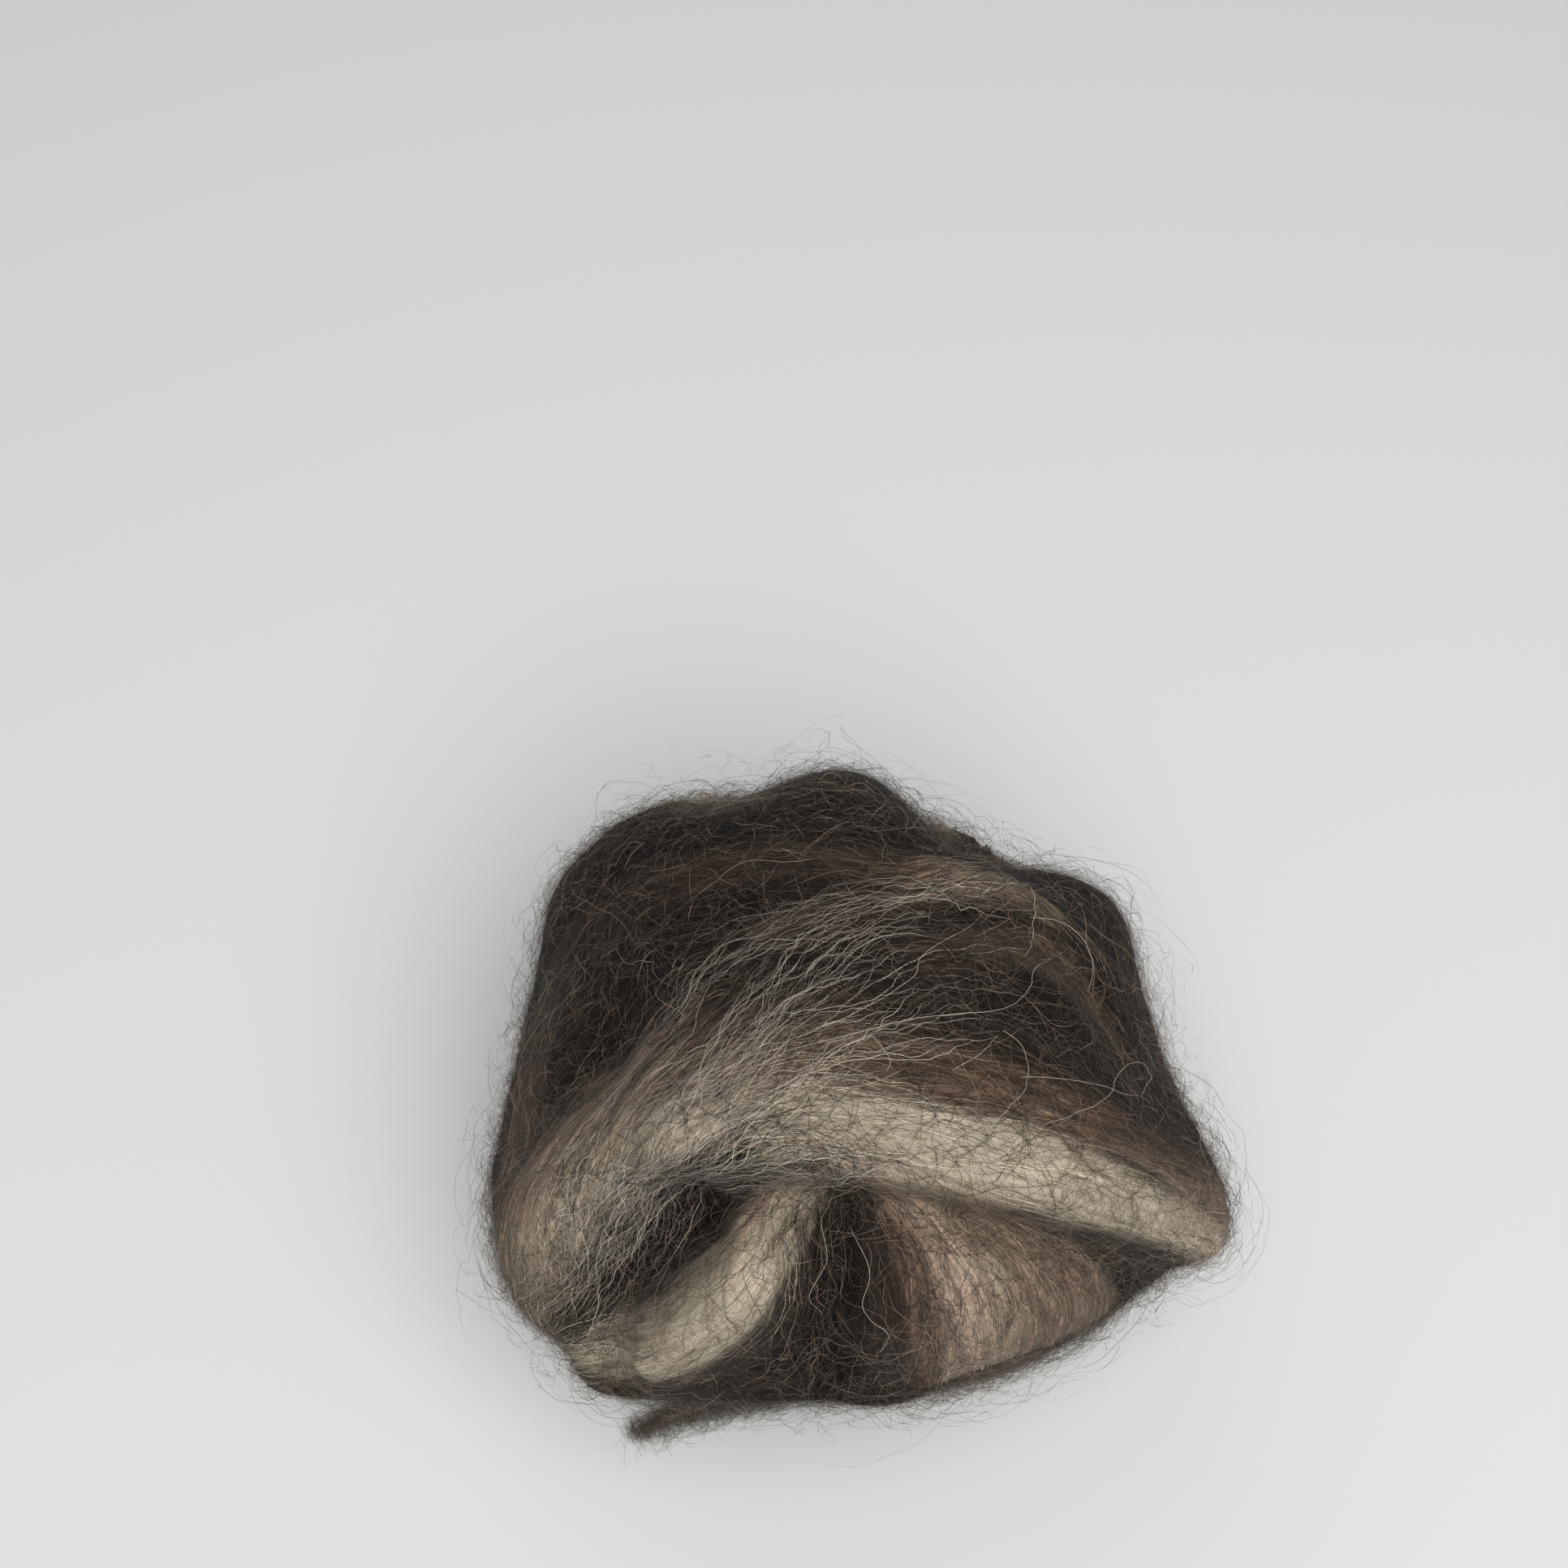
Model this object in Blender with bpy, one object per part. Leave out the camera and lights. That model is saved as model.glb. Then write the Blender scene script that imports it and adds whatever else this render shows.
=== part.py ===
"""A hand-wound ball of variegated wool roving, with the roving's loose end lying under its front edge.

The ball is one soft solid that rests on a small flat spot. The wraps of the roving stand up from a
rounded mass as ridges and part as creases, and at the front one wrap is pinched in under another.

Places on the ball are given in degrees from its face, the point turned to a viewer who looks down at it
by FACE_RISE_DEG: "across" runs to the right (+X), and "up" runs over the top, away from the viewer. A
place more than 90 degrees from the face is on the side or the back.
"""

import math
from collections import namedtuple

import bmesh
import bpy
import numpy as np

MM = 0.001

# Driving dimensions of the ball.
BALL_WIDTH_MM = 84.0
BALL_DEPTH_MM = 73.0
BALL_HEIGHT_MM = 72.0
FLAT_PRESS_MM = 2.6
FACE_RISE_DEG = 69.0

# The loose end: a thin lock of the roving that lies on the surface and thins to its tip. The route is its
# middle line seen from above, from under the ball outwards, and the profile is its thickness along it.
LOOSE_END_DIAMETER_MM = 4.2
LOOSE_END_ROUTE_MM = [(6.0, -19.4), (-3.5, -22.6), (-11.0, -24.6), (-18.0, -26.6), (-24.8, -29.6)]
LOOSE_END_STEPS = 6
ProfilePoint = namedtuple("ProfilePoint", "share_along thickness_share")
LOOSE_END_PROFILE = [
    ProfilePoint(0.0, 0.45),
    ProfilePoint(0.06, 0.75),
    ProfilePoint(0.3, 1.0),
    ProfilePoint(0.7, 0.85),
    ProfilePoint(0.94, 0.5),
    ProfilePoint(1.0, 0.2),
]

# The mesh: cells along each edge of the cube that is rounded into the ball, and how strongly the cells
# are drawn towards the face, where the folds are finest.
CUBE_CELLS = 30
FACE_DRAW = 0.25
ROUTE_STEPS = 16

# The mass is narrower behind its waist than in front of it. The waist lies across the face, at a share of
# the half depth above the face's own level.
WAIST_LEVEL = -0.12
WAIST_SOFTNESS = 0.22
WIDTH_BEHIND = 0.92
WIDTH_IN_FRONT = 1.07

# Broad swellings (and, below zero, hollows) that turn the plain mass into this ball's own outline.
Swelling = namedtuple("Swelling", "name height_mm spread_deg across up")
SWELLINGS = [
    Swelling("lower right corner", 2.4, 12, 77, -13),
    Swelling("lower left corner", 2.6, 11, -56, -52),
    Swelling("upper left shoulder", 6.6, 20, -58, 60),
    Swelling("top edge", 4.2, 18, 4, 82),
    Swelling("upper right shoulder", 4.0, 15, 60, 50),
    Swelling("slope between the shoulders", -5.4, 15, 36, 70),
    Swelling("front, under the fan", -6.5, 36, 0, -86),
    Swelling("front, right of the fan", -2.0, 18, 56, -60),
    Swelling("fan of the pinched wrap", 3.6, 17, 16, -28),
    Swelling("lower left flank", 3.0, 30, -118, -34),
    Swelling("lower right flank", 3.0, 30, 118, -34),
    Swelling("lower back", 3.0, 34, 0, 150),
]

# Ridges and creases along the wraps. Each follows a route of (across, up) places; its height falls away
# over left_mm and right_mm to either side as one walks the route, seen from outside, and lean_mm draws
# the ridge over to the right, so that its edge hangs over.
Fold = namedtuple("Fold", "name height_mm left_mm right_mm lean_mm route")
FOLDS = [
    Fold(
        "cream wrap", 4.8, 11, 3.4, 1.6,
        [(-46, -4), (-19, -2), (-2, -3), (15, -5), (33, -9), (54, -14), (84, -23), (104, -26)],
    ),
    Fold(
        "crease under the cream wrap", -3.6, 3, 4.0, 0,
        [(-41, -13), (-26, -12), (-8, -12), (5, -13), (27, -17), (55, -26)],
    ),
    Fold("pinch", -3.5, 4.5, 4.5, 0, [(-10, -12), (-7, -19)]),
    Fold("cream lobe", 5.4, 5, 4.5, 0, [(-11, -15), (-16, -21), (-22, -30), (-33, -40), (-50, -48)]),
    Fold("black valley", -5.5, 4.5, 5, 0, [(-20, -12), (-33, -21.5), (-42.5, -31), (-55, -42)]),
    Fold("dark groove", -3.2, 4, 4, 0, [(-7, -15), (-4, -30), (-6, -50)]),
    Fold("fan crease", -1.4, 3, 3.5, 0, [(6, -14), (17, -25), (25, -41)]),
    Fold("right crease", -2.8, 3.5, 4.5, 0, [(38, -21), (54, -27), (72, -35)]),
    Fold(
        "left wrap", 3.4, 5, 8, 0,
        [(-20, 6), (-31, -1), (-48, -10), (-60, -21), (-66, -34), (-58, -46)],
    ),
    Fold(
        "rolled lower rim", 2.8, 4, 3.5, 0,
        [(-64, -46), (-54, -53), (-40, -57), (-25, -56), (-6, -55), (10, -58), (32, -52)],
    ),
    Fold("left flank crease", -2.6, 4, 4, 0, [(-36, 20), (-52, 7), (-70, -4), (-92, -16)]),
    Fold("right shoulder, upper crease", -1.6, 3, 3, 0, [(10, 30), (26, 37), (40, 31), (54, 16)]),
    Fold(
        "right shoulder, upper wrap", 1.8, 4, 3, 0,
        [(8, 36), (20, 45), (34, 43), (48, 32), (64, 14)],
    ),
    Fold("right shoulder, lower wrap", 1.6, 4, 3, 0, [(14, 20), (25, 27), (38, 25), (50, 12)]),
    Fold(
        "back wrap, left edge", 3.0, 13, 4, 0,
        [(-30, 76), (-42, 92), (-44, 108), (-36, 128), (-8, 148)],
    ),
    Fold(
        "back crease, left", -2.6, 4, 4, 0,
        [(-10, 84), (-17, 98), (-18, 112), (-8, 130), (4, 144)],
    ),
    Fold("back crease, middle", -2.2, 4, 4, 0, [(7, 86), (8, 100), (11, 120), (14, 142)]),
    Fold("back wrap, right edge", 3.0, 4, 13, 0, [(38, 86), (46, 104), (43, 126), (24, 146)]),
    Fold("back crease, right", -2.6, 4, 4, 0, [(60, 86), (66, 102), (61, 124), (40, 144)]),
    Fold("pinch at the back", -3.5, 6, 6, 0, [(0, 148), (14, 146), (28, 146)]),
    Fold(
        "wrap round the lower back", 3.4, 4.5, 10, 0,
        [(-104, 30), (-92, 84), (-52, 142), (14, 160), (70, 138), (104, 84)],
    ),
    Fold(
        "right side wrap", 2.8, 4, 12, 0,
        [(58, 62), (80, 44), (98, 14), (106, -20), (98, -56)],
    ),
    Fold(
        "right side crease", -2.4, 4, 4.5, 0,
        [(78, 62), (99, 48), (120, 16), (126, -22), (116, -56)],
    ),
    Fold(
        "left side wrap", 2.6, 10, 4, 0,
        [(-60, 68), (-84, 46), (-100, 12), (-104, -22), (-90, -60)],
    ),
    Fold("left side crease", -2.4, 4.5, 4, 0, [(-76, 70), (-102, 48), (-120, 10), (-123, -28)]),
    Fold(
        "front underside wrap", 2.4, 4.5, 9, 0,
        [(-86, -66), (-52, -96), (0, -108), (52, -96), (88, -62)],
    ),
]

# Plain colours of the two solids, and the roughness of wool.
BALL_COLOUR = (0.075, 0.055, 0.042, 1.0)
LOOSE_END_COLOUR = (0.045, 0.032, 0.024, 1.0)
WOOL_ROUGHNESS = 0.9

COLLECTION_NAME = "wool_roving"

FACE_RISE = math.radians(FACE_RISE_DEG)
FACE = np.array([0.0, -math.cos(FACE_RISE), math.sin(FACE_RISE)])
ACROSS = np.array([1.0, 0.0, 0.0])
UP = np.array([0.0, math.sin(FACE_RISE), math.cos(FACE_RISE)])
FREE_SIZES_MM = np.array([BALL_WIDTH_MM, BALL_DEPTH_MM, BALL_HEIGHT_MM + FLAT_PRESS_MM])
HALF_SIZES_MM = FREE_SIZES_MM / 2
MEAN_RADIUS_MM = float(HALF_SIZES_MM.mean())


def unit(vectors):
    """The vectors at length one."""
    return vectors / np.linalg.norm(vectors, axis=-1, keepdims=True)


def direction(across, up):
    """The direction from the ball's middle to a place given in degrees from its face."""
    turn = math.radians(math.hypot(across, up))
    if turn == 0:
        return FACE.copy()
    sideways = unit(ACROSS * across + UP * up)
    return FACE * math.cos(turn) + sideways * math.sin(turn)


def smooth_line(points, steps):
    """Points on one smooth curve (Catmull-Rom) through the given points."""
    points = np.asarray(points, float)
    padded = np.vstack([2 * points[0] - points[1], points, 2 * points[-1] - points[-2]])
    line = []
    for before, start, end, after in zip(padded, padded[1:], padded[2:], padded[3:]):
        for t in np.arange(steps) / steps:
            line.append(
                0.5
                * (
                    2 * start
                    + (end - before) * t
                    + (2 * before - 5 * start + 4 * end - after) * t**2
                    + (3 * start - before - 3 * end + after) * t**3
                )
            )
    return np.array(line + [points[-1]])


def ease(share):
    """Zero to one with level ends."""
    share = np.clip(share, 0.0, 1.0)
    return share * share * (3 - 2 * share)


def fold_offsets(places, fold):
    """How far the fold raises each place, and how far and which way it leans it, in millimetres."""
    line = unit(smooth_line([direction(*place) for place in fold.route], ROUTE_STEPS))
    nearest = (places @ line.T).argmax(axis=1)
    along = unit(np.gradient(line, axis=0))[nearest]
    centre = line[nearest]
    right = unit(np.cross(along, centre))
    apart = places - centre
    side = (apart * right).sum(axis=1)
    beyond = (apart * along).sum(axis=1)
    away = np.hypot(side, beyond) * MEAN_RADIUS_MM
    width = np.where(side > 0, fold.right_mm, fold.left_mm)
    share = nearest / (len(line) - 1)
    ends = ease(share / 0.18) * ease((1 - share) / 0.18)
    profile = np.exp(-((away / width) ** 2)) * ends
    return fold.height_mm * profile, (fold.lean_mm * profile)[:, None] * right


def swelling_offsets(places, swelling):
    """How far a broad swelling raises each place, in millimetres."""
    turn = np.degrees(np.arccos(np.clip(places @ direction(swelling.across, swelling.up), -1, 1)))
    return swelling.height_mm * np.exp(-((turn / swelling.spread_deg) ** 2))


def drawn_to_face(places):
    """The same directions, turned a little towards the face so that they lie closer together there."""
    turn = np.arccos(np.clip(places @ FACE, -1, 1))
    sideways = places - (places @ FACE)[:, None] * FACE
    length = np.linalg.norm(sideways, axis=1, keepdims=True)
    sideways = np.divide(sideways, length, out=np.zeros_like(sideways), where=length > 1e-9)
    turn = turn - FACE_DRAW * np.sin(turn)
    return np.cos(turn)[:, None] * FACE + np.sin(turn)[:, None] * sideways


def width_share(level):
    """How wide the mass is at a level above (or, below zero, under) the face's own."""
    behind = 0.5 + 0.5 * np.tanh((level - WAIST_LEVEL) / WAIST_SOFTNESS)
    return WIDTH_IN_FRONT + (WIDTH_BEHIND - WIDTH_IN_FRONT) * behind


def ball_points(cube_points):
    """The ball's surface, in millimetres, for points on a cube of half size one."""
    evened = np.tan(cube_points * math.pi / 4)
    places = drawn_to_face(unit(evened))
    points = places * HALF_SIZES_MM
    points[:, 0] *= width_share(places @ UP)
    seen = unit(points)
    raised = np.zeros(len(points))
    leaned = np.zeros_like(points)
    for swelling in SWELLINGS:
        raised += swelling_offsets(seen, swelling)
    for fold in FOLDS:
        height, lean = fold_offsets(seen, fold)
        raised += height
        leaned += lean
    return points + seen * raised[:, None] + leaned


def fitted_and_pressed(points):
    """The points scaled to the ball's own sizes, with the pressed underside at z = 0 under the middle."""
    low, high = points.min(axis=0), points.max(axis=0)
    points = (points - (low + high) / 2) / (high - low) * FREE_SIZES_MM
    points[:, 2] += BALL_HEIGHT_MM - FREE_SIZES_MM[2] / 2
    points[:, 2] = np.maximum(points[:, 2], 0.0)
    return points


def wool_material(name, colour):
    material = bpy.data.materials.new(name)
    material.use_nodes = True
    shader = material.node_tree.nodes["Principled BSDF"]
    shader.inputs["Base Color"].default_value = colour
    shader.inputs["Roughness"].default_value = WOOL_ROUGHNESS
    shader.inputs["Metallic"].default_value = 0.0
    material.diffuse_color = colour
    return material


def add_object(name, mesh, material, collection):
    mesh.materials.append(material)
    mesh.shade_smooth()
    made = bpy.data.objects.new(name, mesh)
    collection.objects.link(made)
    return made


def add_ball(collection):
    shape = bmesh.new()
    bmesh.ops.create_cube(shape, size=2.0)
    bmesh.ops.subdivide_edges(shape, edges=shape.edges[:], cuts=CUBE_CELLS - 1, use_grid_fill=True)
    cube_points = np.array([vertex.co[:] for vertex in shape.verts])
    points = fitted_and_pressed(ball_points(cube_points))
    for vertex, point in zip(shape.verts, points):
        vertex.co = point * MM
    bmesh.ops.triangulate(shape, faces=shape.faces[:], quad_method="SHORT_EDGE")
    bmesh.ops.recalc_face_normals(shape, faces=shape.faces[:])
    mesh = bpy.data.meshes.new("roving_ball")
    shape.to_mesh(mesh)
    shape.free()
    return add_object("roving_ball", mesh, wool_material("roving", BALL_COLOUR), collection)


def add_loose_end(collection):
    """The lock lies on the surface, so its middle line is half its own thickness up all the way."""
    line = smooth_line(LOOSE_END_ROUTE_MM, LOOSE_END_STEPS)
    curve = bpy.data.curves.new("loose_end", "CURVE")
    curve.dimensions = "3D"
    curve.bevel_depth = LOOSE_END_DIAMETER_MM * MM / 2
    curve.bevel_resolution = 3
    curve.use_fill_caps = True
    spline = curve.splines.new("POLY")
    spline.points.add(len(line) - 1)
    for number, ((x, y), point) in enumerate(zip(line, spline.points)):
        share = np.interp(number / (len(line) - 1), *zip(*LOOSE_END_PROFILE))
        point.co = (x * MM, y * MM, share * LOOSE_END_DIAMETER_MM * MM / 2, 1.0)
        point.radius = share
    guide = bpy.data.objects.new("loose_end_guide", curve)
    collection.objects.link(guide)
    graph = bpy.context.evaluated_depsgraph_get()
    mesh = bpy.data.meshes.new_from_object(guide.evaluated_get(graph))
    bpy.data.objects.remove(guide)
    bpy.data.curves.remove(curve)
    shape = bmesh.new()
    shape.from_mesh(mesh)
    bmesh.ops.remove_doubles(shape, verts=shape.verts[:], dist=0.01 * MM)
    for vertex in shape.verts:
        vertex.co.z = max(vertex.co.z, 0.0)
    bmesh.ops.recalc_face_normals(shape, faces=shape.faces[:])
    shape.to_mesh(mesh)
    shape.free()
    return add_object("loose_end", mesh, wool_material("loose_end", LOOSE_END_COLOUR), collection)


def main():
    for old in list(bpy.data.objects):
        bpy.data.objects.remove(old)
    collection = bpy.data.collections.new(COLLECTION_NAME)
    bpy.context.scene.collection.children.link(collection)
    add_ball(collection)
    add_loose_end(collection)


main()
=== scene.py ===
"""The looks of the wool roving ball: carded wool in dark brown, black, tan and cream.

A fine skin takes the place of the ball's solid. Its colours and the way its fibres lie come from one table
of locks, the stripes of wool that a winder laid beside each other; the black in the valley under the cream
wrap is also painted shade. One Geometry Nodes tree then grows thin ribbons along the skin: laid, matted and
crossing fibres, pale wisps, curls and the fuzz of the outline. The loose end is a cord with fibres of its
own.
"""

import math
from collections import namedtuple

import bmesh
import bpy
import numpy as np
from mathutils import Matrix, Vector
from mathutils.bvhtree import BVHTree


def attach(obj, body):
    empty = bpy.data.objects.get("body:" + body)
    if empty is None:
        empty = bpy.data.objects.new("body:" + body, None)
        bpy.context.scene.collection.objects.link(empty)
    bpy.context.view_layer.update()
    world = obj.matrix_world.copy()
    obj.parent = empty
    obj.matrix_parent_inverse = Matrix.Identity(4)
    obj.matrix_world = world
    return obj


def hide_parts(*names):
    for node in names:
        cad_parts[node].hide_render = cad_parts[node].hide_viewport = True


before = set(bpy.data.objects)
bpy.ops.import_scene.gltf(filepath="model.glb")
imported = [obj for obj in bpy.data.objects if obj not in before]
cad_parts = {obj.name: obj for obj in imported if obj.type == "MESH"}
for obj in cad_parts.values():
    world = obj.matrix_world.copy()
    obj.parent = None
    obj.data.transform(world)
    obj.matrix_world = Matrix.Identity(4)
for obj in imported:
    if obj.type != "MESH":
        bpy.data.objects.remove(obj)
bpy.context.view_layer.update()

MM = 0.001
BODY = "root"

# The view: the photograph's frame, the place of the ball's middle in it, and how the camera looks down.
FRAME_PX = 1932
MIDDLE_AT_PX = (1050, 1350)
FACE_RISE_DEG = 69.0
VIEW_DISTANCE = 0.260
LENS_MM = 51.5
SENSOR_MM = 36.0

# The floor and the light: each lamp's place, width, power and colour.
FLOOR_SIZE = 12.0
FLOOR_LOOKS = {"Base Color": (0.695, 0.705, 0.695, 1.0), "Roughness": 0.9, "Specular IOR Level": 0.1}
SKY_COLOUR = (0.97, 0.99, 1.0, 1.0)
SKY_STRENGTH = 0.31
LAMPS = {
    "roof window": ((0.11, -0.33, 0.70), 0.76, 6.2, (1.0, 0.995, 0.98)),
    "room": ((-0.20, 0.34, 0.50), 0.50, 0.30, (0.97, 0.99, 1.0)),
}

# The ball's middle, and the directions that places on it are given in (see direction()).
MIDDLE = np.array([0.0, 0.0, 0.036])
MEAN_RADIUS = 0.0385
FACE_RISE = math.radians(FACE_RISE_DEG)
FACE = np.array([0.0, -math.cos(FACE_RISE), math.sin(FACE_RISE)])
ACROSS = np.array([1.0, 0.0, 0.0])
UP = np.array([0.0, math.sin(FACE_RISE), math.cos(FACE_RISE)])

# The loose end: the same route as the solid's, in metres, from under the ball outwards, its thickness along
# it, its shades from root to tip, and its bumps: how high they are, and the waves round it and along it. Its
# necks are waves along it alone, with a mean first. Its map of strands has its length and its girth.
LOOSE_END_DIAMETER = 0.0042
LOOSE_END_ROUTE = [
    (0.006, -0.0194), (-0.0035, -0.0226), (-0.011, -0.0246), (-0.018, -0.0266), (-0.0248, -0.0296)
]
LOOSE_END_SHARES = [0.0, 0.06, 0.3, 0.7, 0.94, 1.0]
LOOSE_END_THICKNESS = [0.45, 0.7, 0.8, 0.5, 0.3, 0.2]
LOOSE_END_SHADES = ((0.030, 0.022, 0.017), (0.135, 0.105, 0.082))
LOOSE_END_STEPS = 14
LOOSE_END_SIDES = 28
LOOSE_END_BUMPS = ((0.09, 5, 4), (0.05, 9, -7))
LOOSE_END_FLATTENING = (1.08, 0.95)
LOOSE_END_NECKS = (0.97, 0.05, 23)
LOOSE_END_MAP = (0.33, 0.13)

# The skin's fineness and the relief of the strands in it, and how near skins and fibres come to the floor.
SKIN_CELL = 0.00068
SKIN_SMOOTHING = 5
STRAND_RELIEF = 0.00034
SKIN_LOWEST = 0.0001
FIBRE_LOWEST = 0.0003

# Wool shades, as the share of light that the wool gives back (linear red, green, blue).
SHADES = {
    "black": (0.0055, 0.0042, 0.0036),
    "dark": (0.0095, 0.0068, 0.0052),
    "umber": (0.028, 0.019, 0.0135),
    "russet": (0.058, 0.036, 0.023),
    "brown": (0.120, 0.080, 0.055),
    "fawn": (0.27, 0.20, 0.145),
    "rose": (0.42, 0.32, 0.245),
    "grey": (0.34, 0.275, 0.205),
    "sand": (0.44, 0.375, 0.29),
    "cream": (0.55, 0.48, 0.37),
}

# The locks: stripes of one shade, with their half width, their route as (across, up) places, how strongly
# their strands differ, and how many degrees the strands lie off the route.
Lock = namedtuple("Lock", "shade half_width_mm route contrast lay_deg", defaults=(1.0, 0.0))
LOCKS = [Lock(*row) for row in [
    # The cap, from its far edge down to the cream wrap.
    ("dark", 5.0, [(-80, 42), (-52, 64), (-14, 76), (20, 76), (50, 64), (78, 36)]),
    ("dark", 4.0, [(0, 84), (14, 88), (30, 88), (44, 84)]),
    ("dark", 4.0, [(-70, 38), (-46, 54), (-16, 60), (14, 58), (40, 55), (66, 32)]),
    ("russet", 3.6, [(-52, 34), (-29, 46), (-12, 48), (4, 43)]),
    ("black", 4.0, [(-70, 24), (-50, 34), (-26, 36), (6, 35)]),
    ("fawn", 2.0, [(8, 38), (17, 43), (28, 44), (36, 41), (40, 37)]),
    ("black", 3.6, [(34, 58), (48, 50), (57, 38), (64, 26), (70, 10)]),
    ("black", 1.8, [(12, 34), (29, 38), (42, 34), (52, 24), (62, 12)]),
    ("brown", 2.8, [(12, 23), (26, 29), (37, 28), (45, 21), (52, 10)]),
    ("dark", 5.0, [(-54, 14), (-34, 23), (-6, 25), (19, 20), (40, 13), (62, 1), (80, -12)]),
    ("brown", 3.0, [(-16, 29), (-5, 32), (8, 37)], 1.3),
    ("umber", 2.8, [(-26, 9), (-8, 14), (8, 15), (27, 10), (51, 2), (72, -13)]),
    ("brown", 2.8, [(-22, 5), (-8, 6), (6, 4), (25, 0), (48, -9), (68, -19)]),
    # The cream wrap and what it turns into at the left.
    ("cream", 2.6, [(-14, -2), (-6, -3), (4, -5), (16, -8), (30, -11), (46, -17), (60, -22)]),
    ("cream", 2.0, [(-12, -7), (2, -9), (15, -12), (33, -17), (53, -23), (72, -28)]),
    ("fawn", 3.2, [(-6, 7), (-20, 8), (-33, 2), (-46, -7), (-60, -22), (-68, -40)], 1.5, -22),
    ("grey", 2.8, [(-12, 0), (-24, -2), (-36, -8), (-49, -19), (-61, -36), (-68, -52)], 1.6, -20),
    ("cream", 2.4, [(-20, -2), (-33, -6), (-47, -16), (-60, -30), (-67, -46)], 1.5, -16),
    ("umber", 1.1, [(-18, 22), (-24, 12), (-31, 0), (-38, -12)]),
    ("umber", 0.9, [(-27, 18), (-34, 6), (-42, -8), (-50, -20)]),
    ("brown", 3.0, [(-66, 28), (-79, 10), (-84, -8), (-82, -24), (-78, -44)]),
    # Under the cream wrap: the lobe, the valley, the groove and the fan.
    # The valley's black is partly dark wool and partly painted shade: it is laid wider than the crease and
    # stands in for shade that the shallow crease doesn't cast.
    ("black", 4.8, [(-15, -9), (-26, -16), (-35, -23), (-43, -32), (-55, -42)]),
    ("black", 3.8, [(-42, -31), (-49, -38), (-58, -45)]),
    ("fawn", 1.6, [(-10, -12), (-16, -18), (-21, -25)]),
    ("cream", 3.0, [(-10, -15), (-15, -23), (-21, -31), (-31, -39), (-44, -46.5), (-57, -50)]),
    ("umber", 1.6, [(-8, -24), (-13, -37), (-26, -47), (-40, -53)]),
    ("black", 2.8, [(-6, -12), (-5, -27), (-7, -41), (-8, -56)]),
    ("umber", 1.8, [(-2, -12), (3, -26), (5, -38), (7, -55)]),
    ("brown", 1.6, [(1, -12), (8, -26), (10, -38), (13, -55)]),
    ("rose", 1.9, [(4, -12), (13, -26), (17, -38), (21, -54)]),
    ("grey", 1.8, [(7, -13), (20, -27), (25, -39), (28, -54)]),
    ("fawn", 2.6, [(12, -14), (27, -26), (36, -38), (42, -52)]),
    ("fawn", 2.0, [(20, -16), (38, -27), (50, -38), (56, -50)]),
    ("dark", 2.6, [(26, -19), (46, -28), (62, -36), (74, -46)]),
    # The rolled lower rim.
    ("umber", 1.5, [(-66, -44), (-58, -53), (-43, -58), (-27, -58), (-12, -55)]),
    ("dark", 2.2, [(-36, -63), (-17, -60), (0, -61), (18, -63), (38, -62)]),
    # Round the right side and the back.
    ("fawn", 3.2, [(60, -16), (76, -22), (90, -24), (106, -20), (122, -6)]),
    ("russet", 4.2, [(74, 36), (82, 16), (90, -4), (98, -30), (98, -58)]),
    ("dark", 5.0, [(70, 52), (92, 32), (108, 6), (114, -24), (110, -56)]),
    ("sand", 3.6, [(78, 64), (102, 46), (122, 16), (128, -20), (122, -52)]),
    ("brown", 4.0, [(70, 86), (98, 72), (126, 40), (140, -4), (136, -50)]),
    ("dark", 5.0, [(-72, 42), (-88, 26), (-100, 2), (-102, -26), (-92, -56)]),
    ("fawn", 3.8, [(-68, 62), (-92, 50), (-112, 20), (-118, -18), (-110, -54)]),
    ("cream", 3.4, [(-66, 76), (-98, 66), (-122, 34), (-132, -8), (-128, -52)]),
    ("umber", 4.2, [(-62, 92), (-96, 86), (-130, 56), (-146, 4), (-142, -50)]),
    ("cream", 4.2, [(-32, 74), (-44, 94), (-46, 112), (-34, 132), (-8, 150)]),
    ("black", 3.6, [(-20, 82), (-28, 98), (-28, 114), (-18, 132), (0, 148)]),
    ("fawn", 3.4, [(-6, 80), (-8, 98), (-6, 116), (0, 132), (8, 148)]),
    ("umber", 4.0, [(12, 78), (14, 98), (15, 116), (16, 132), (14, 148)]),
    ("sand", 2.6, [(29, 92), (33, 102), (33, 116), (26, 134), (18, 148)]),
    ("dark", 4.4, [(44, 78), (54, 98), (52, 118), (38, 136), (22, 150)]),
    ("brown", 3.6, [(62, 80), (74, 100), (70, 122), (52, 140), (28, 152)]),
    # The underside, which hardly shows.
    ("umber", 5.0, [(-84, -60), (-50, -76), (0, -80), (50, -74), (86, -52)]),
    ("fawn", 4.0, [(-90, -66), (-52, -94), (0, -100), (52, -92), (92, -60)]),
    ("dark", 6.0, [(-98, -78), (-54, -112), (0, -120), (54, -110), (98, -74)]),
    ("umber", 9.0, [(-120, -84), (-60, -140), (0, -150), (60, -140), (120, -84)]),
    ("brown", 7.0, [(-124, 60), (-70, 140), (0, 166), (70, 140), (120, 70)]),
]]

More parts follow.
